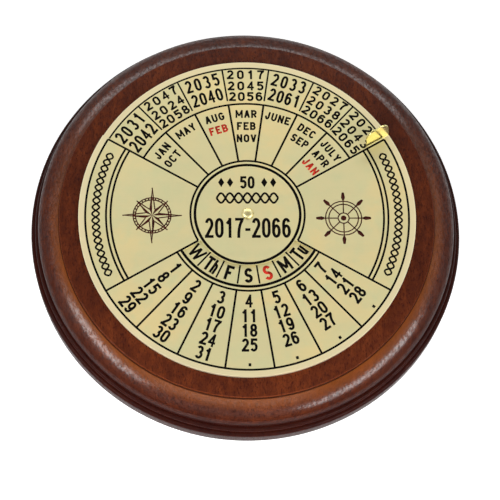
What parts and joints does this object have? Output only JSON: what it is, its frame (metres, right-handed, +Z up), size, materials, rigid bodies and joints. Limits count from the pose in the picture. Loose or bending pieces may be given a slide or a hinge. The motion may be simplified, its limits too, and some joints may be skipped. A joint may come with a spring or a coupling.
{
  "type": "perpetual desk calendar",
  "caption": "Round perpetual desk calendar: a brass plate of months and dates turns by a finger tab over a fixed disc of years, on a moulded wooden base.",
  "frame": {"origin": "on the axis of the rivet, on the felt face that the calendar rests on", "axes": "+Z up along the rivet's axis, +Y towards the top of the dial where the notch shows the years, +X to the right of someone reading it"},
  "size_m": [0.127, 0.127, 0.0239],
  "materials": {
    "stained_wood": "dark mahogany stain under a semi-gloss lacquer",
    "felt": "dark grey felt",
    "adhesive": "double-sided adhesive film",
    "satin_brass": "pale satin brass under clear lacquer",
    "bright_brass": "polished",
    "black_enamel": "black enamel filled into etched lines",
    "red_enamel": "red enamel",
    "brown_enamel": "dark brown enamel",
    "washer_film": "smooth slippery film"
  },
  "bodies": {
    "base": {"wooden_base": "stained_wood", "felt_pad": "felt", "adhesive_film": "adhesive", "year_disc": "satin_brass", "year_disc_lines": "black_enamel", "glide_washer": "washer_film", "pivot_rivet": "bright_brass", "tail_washer": "bright_brass"},
    "dial": {"month_plate": "satin_brass", "month_plate_lines": "black_enamel"}
  },
  "joints": [
    {"name": "dial_turn", "type": "hinge", "parent": "base", "child": "dial", "pos_m": [0, 0, 0.01715], "axis": [0, 0, 1], "continuous": true}
  ]
}
